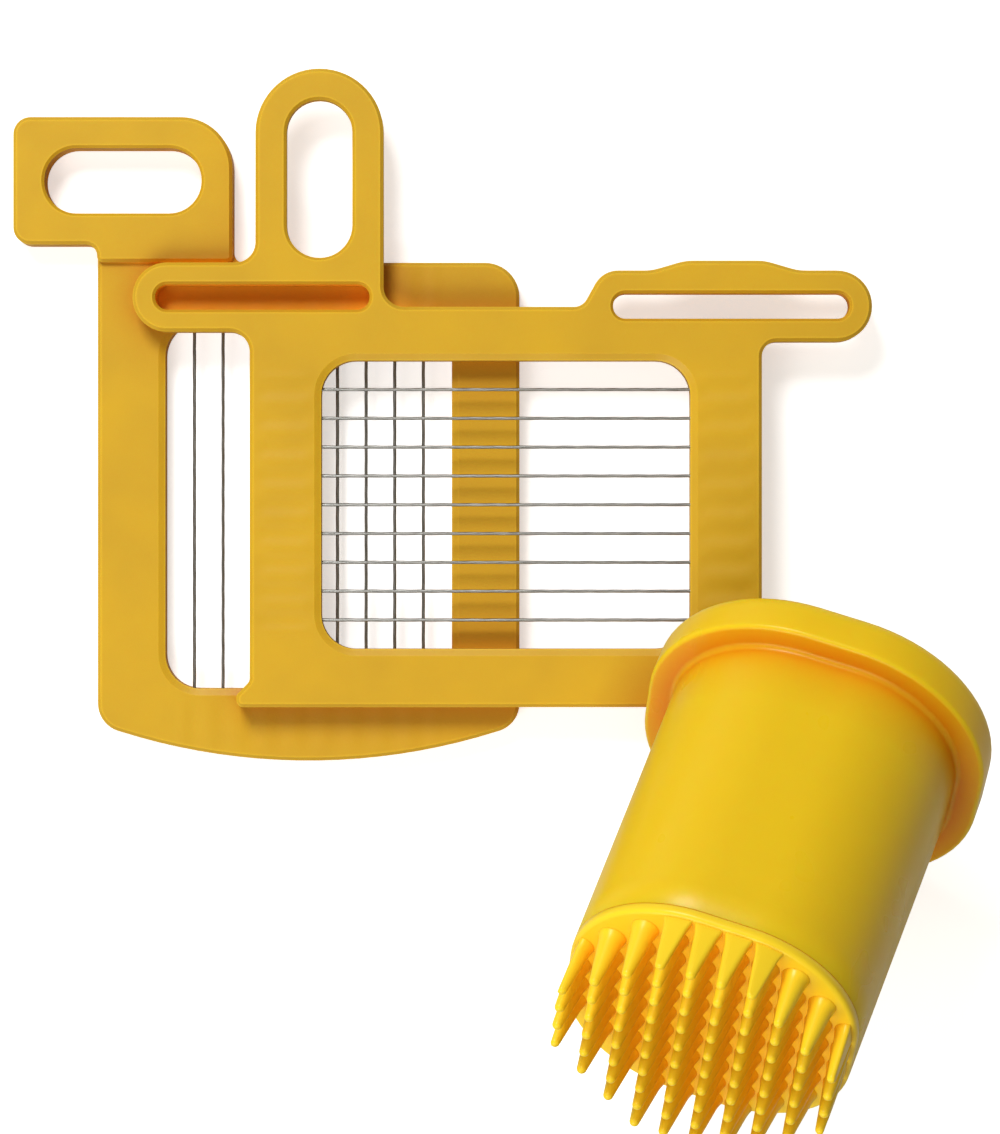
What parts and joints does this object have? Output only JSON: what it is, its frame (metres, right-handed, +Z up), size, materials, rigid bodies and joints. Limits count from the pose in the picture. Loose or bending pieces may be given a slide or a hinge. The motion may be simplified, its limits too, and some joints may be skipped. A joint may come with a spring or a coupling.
{
  "type": "egg slicer",
  "caption": "Hand egg dicer: two crossed plastic frames strung with cutting wires, and a hand pusher whose tapered pins pass between the wires.",
  "frame": {"origin": "centre of the rear frame's egg window, on the surface that the set lies on", "axes": "+Z up out of the frames, towards the viewer; +Y up the handles; +X to the right"},
  "size_m": [0.1671, 0.1825, 0.0882],
  "materials": {
    "frame_plastic": "satin",
    "pusher_plastic": "satin",
    "wire_steel": "satin"
  },
  "bodies": {
    "rear_frame": {"rear_frame": "frame_plastic", "rear_wire_1": "wire_steel", "rear_wire_2": "wire_steel", "rear_wire_3": "wire_steel", "rear_wire_4": "wire_steel", "rear_wire_5": "wire_steel", "rear_wire_6": "wire_steel", "rear_wire_7": "wire_steel", "rear_wire_8": "wire_steel", "rear_wire_9": "wire_steel"},
    "front_frame": {"front_frame": "frame_plastic", "front_wire_1": "wire_steel", "front_wire_2": "wire_steel", "front_wire_3": "wire_steel", "front_wire_4": "wire_steel", "front_wire_5": "wire_steel", "front_wire_6": "wire_steel", "front_wire_7": "wire_steel", "front_wire_8": "wire_steel", "front_wire_9": "wire_steel"},
    "pusher": {"pusher_body": "pusher_plastic", "pin_plate": "pusher_plastic"}
  },
  "joints": [
    {"name": "front_frame_slide", "type": "slide", "parent": "rear_frame", "child": "front_frame", "axis": [1, 0, 0], "range_m": [-0.0344, 0]},
    {"name": "pusher_stroke", "type": "slide", "parent": "rear_frame", "child": "pusher", "axis": [-0.3307, -0.7093, 0.6225], "range_m": [0, 0.06]}
  ]
}
